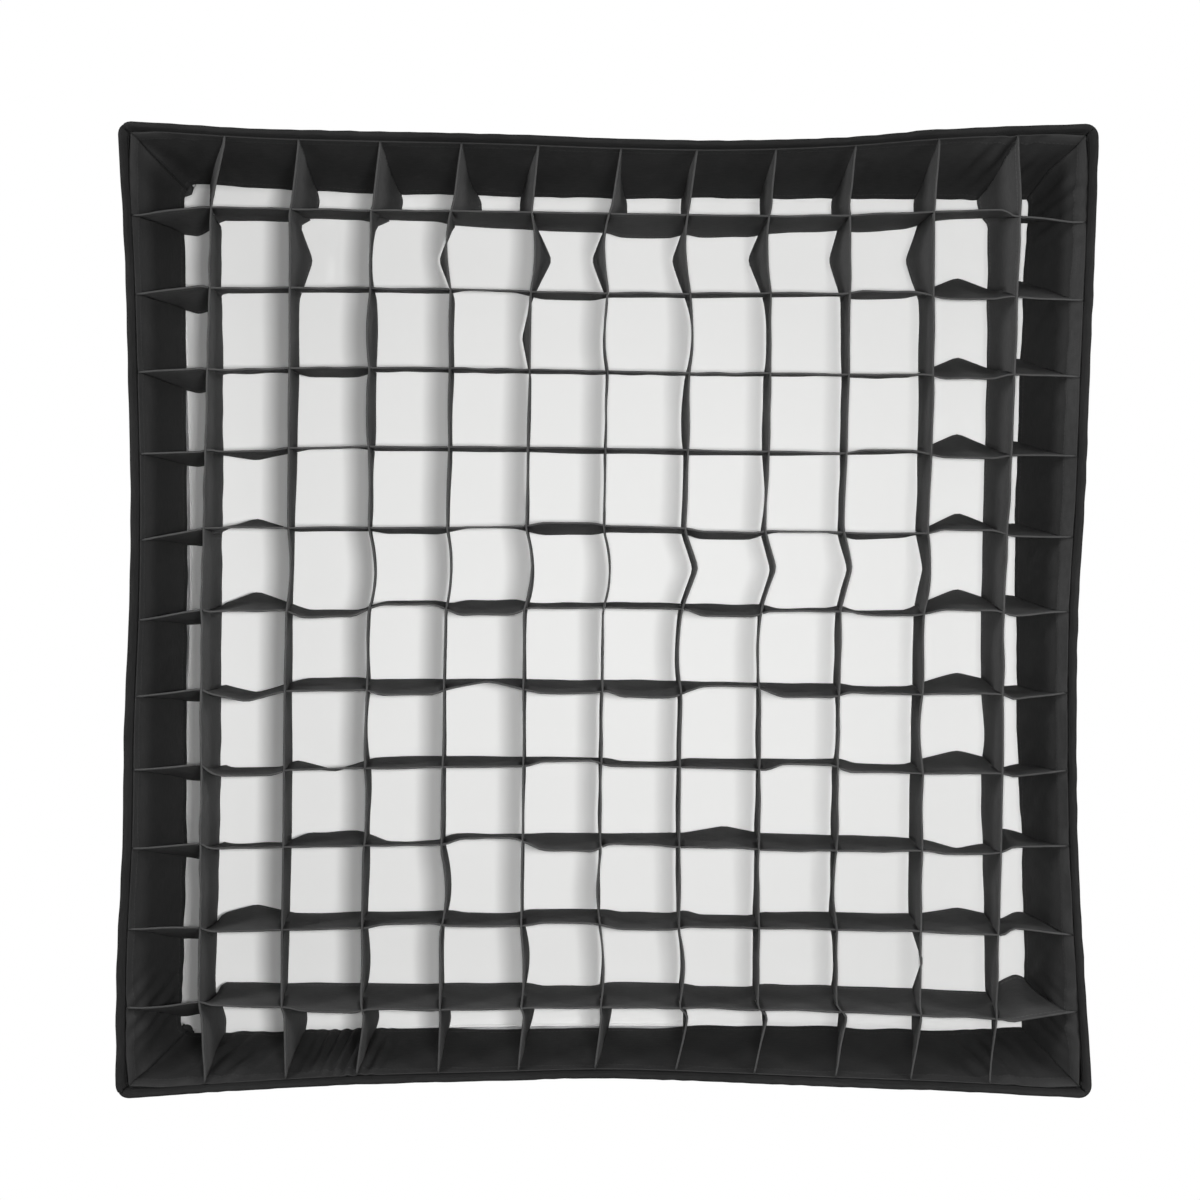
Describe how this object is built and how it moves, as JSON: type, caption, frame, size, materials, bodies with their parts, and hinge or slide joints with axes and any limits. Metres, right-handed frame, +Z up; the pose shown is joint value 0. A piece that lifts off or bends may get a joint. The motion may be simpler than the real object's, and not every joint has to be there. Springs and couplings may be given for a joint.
{
  "type": "softbox",
  "caption": "Square studio softbox with a black cloth shell on bent rods, a white diffuser, an interlocking fabric egg-crate grid in a mitred border, and a rotating speed ring.",
  "frame": {"origin": "centre of the bayonet insert's rear face, where it seats on the lamp head", "axes": "+Y along the softbox axis towards the lamp head, so the open front faces -Y; +Z up; +X to the right seen from the front"},
  "size_m": [0.6092, 0.399, 0.6092],
  "materials": {
    "black_cloth": "black woven nylon, matt with a faint sheen",
    "black_tape": "black ribbed binding tape and webbing",
    "white_cloth": "white translucent diffuser cloth",
    "rod_steel": "drawn spring steel",
    "tip_plastic": "moulded caps on the rods",
    "ring_metal": "black powder coat",
    "insert_metal": "satin turned metal",
    "knob_plastic": "black moulded grip"
  },
  "bodies": {
    "mount_insert": {"bayonet_insert": "insert_metal", "retaining_ring": "insert_metal"},
    "softbox": {"speed_ring": "ring_metal", "rod_top_right": "rod_steel", "rod_bottom_right": "rod_steel", "rod_bottom_left": "rod_steel", "rod_top_left": "rod_steel", "rod_tip_top_right": "tip_plastic", "rod_tip_bottom_right": "tip_plastic", "rod_tip_bottom_left": "tip_plastic", "rod_tip_top_left": "tip_plastic", "shell_top": "black_cloth", "shell_right": "black_cloth", "shell_bottom": "black_cloth", "shell_left": "black_cloth", "front_binding": "black_tape", "rear_binding": "black_tape", "grid_loop_tape": "black_tape", "corner_pocket_top_right": "black_cloth", "corner_pocket_bottom_right": "black_cloth", "corner_pocket_bottom_left": "black_cloth", "corner_pocket_top_left": "black_cloth", "inner_baffle": "white_cloth", "baffle_strap_top_right": "black_tape", "baffle_strap_bottom_right": "black_tape", "baffle_strap_bottom_left": "black_tape", "baffle_strap_top_left": "black_tape"},
    "diffuser": {"front_diffuser": "white_cloth", "diffuser_border": "white_cloth"},
    "grid": {"grid_column_01": "black_cloth", "grid_column_02": "black_cloth", "grid_column_03": "black_cloth", "grid_column_04": "black_cloth", "grid_column_05": "black_cloth", "grid_column_06": "black_cloth", "grid_column_07": "black_cloth", "grid_column_08": "black_cloth", "grid_column_09": "black_cloth", "grid_column_10": "black_cloth", "grid_column_11": "black_cloth", "grid_row_01": "black_cloth", "grid_row_02": "black_cloth", "grid_row_03": "black_cloth", "grid_row_04": "black_cloth", "grid_row_05": "black_cloth", "grid_row_06": "black_cloth", "grid_row_07": "black_cloth", "grid_row_08": "black_cloth", "grid_row_09": "black_cloth", "grid_row_10": "black_cloth", "grid_row_11": "black_cloth", "grid_border_top": "black_cloth", "grid_border_right": "black_cloth", "grid_border_bottom": "black_cloth", "grid_border_left": "black_cloth"},
    "lock_screw": {"lock_screw_shank": "insert_metal"},
    "lock_knob": {"lock_screw_knob": "knob_plastic"}
  },
  "joints": [
    {"name": "softbox_turn", "type": "hinge", "parent": "mount_insert", "child": "softbox", "pos_m": [0, 0, 0], "axis": [0, 1, 0], "continuous": true},
    {"name": "diffuser_pull_off", "type": "slide", "parent": "softbox", "child": "diffuser", "axis": [0, -1, 0], "range_m": [0, 0.1]},
    {"name": "grid_pull_off", "type": "slide", "parent": "diffuser", "child": "grid", "axis": [0, -1, 0], "range_m": [0, 0.1]},
    {"name": "lock_screw_slide", "type": "slide", "parent": "softbox", "child": "lock_screw", "axis": [1, 0, 0], "range_m": [0, 0.0016]},
    {"name": "lock_screw_turn", "type": "hinge", "parent": "lock_screw", "child": "lock_knob", "pos_m": [0.096, -0.012, 0], "axis": [1, 0, 0], "range_deg": [0, 720]}
  ],
  "couplings": [
    {"joint": "lock_screw_slide", "follows": "lock_screw_turn", "m_per_rad": 0.00012732}
  ]
}
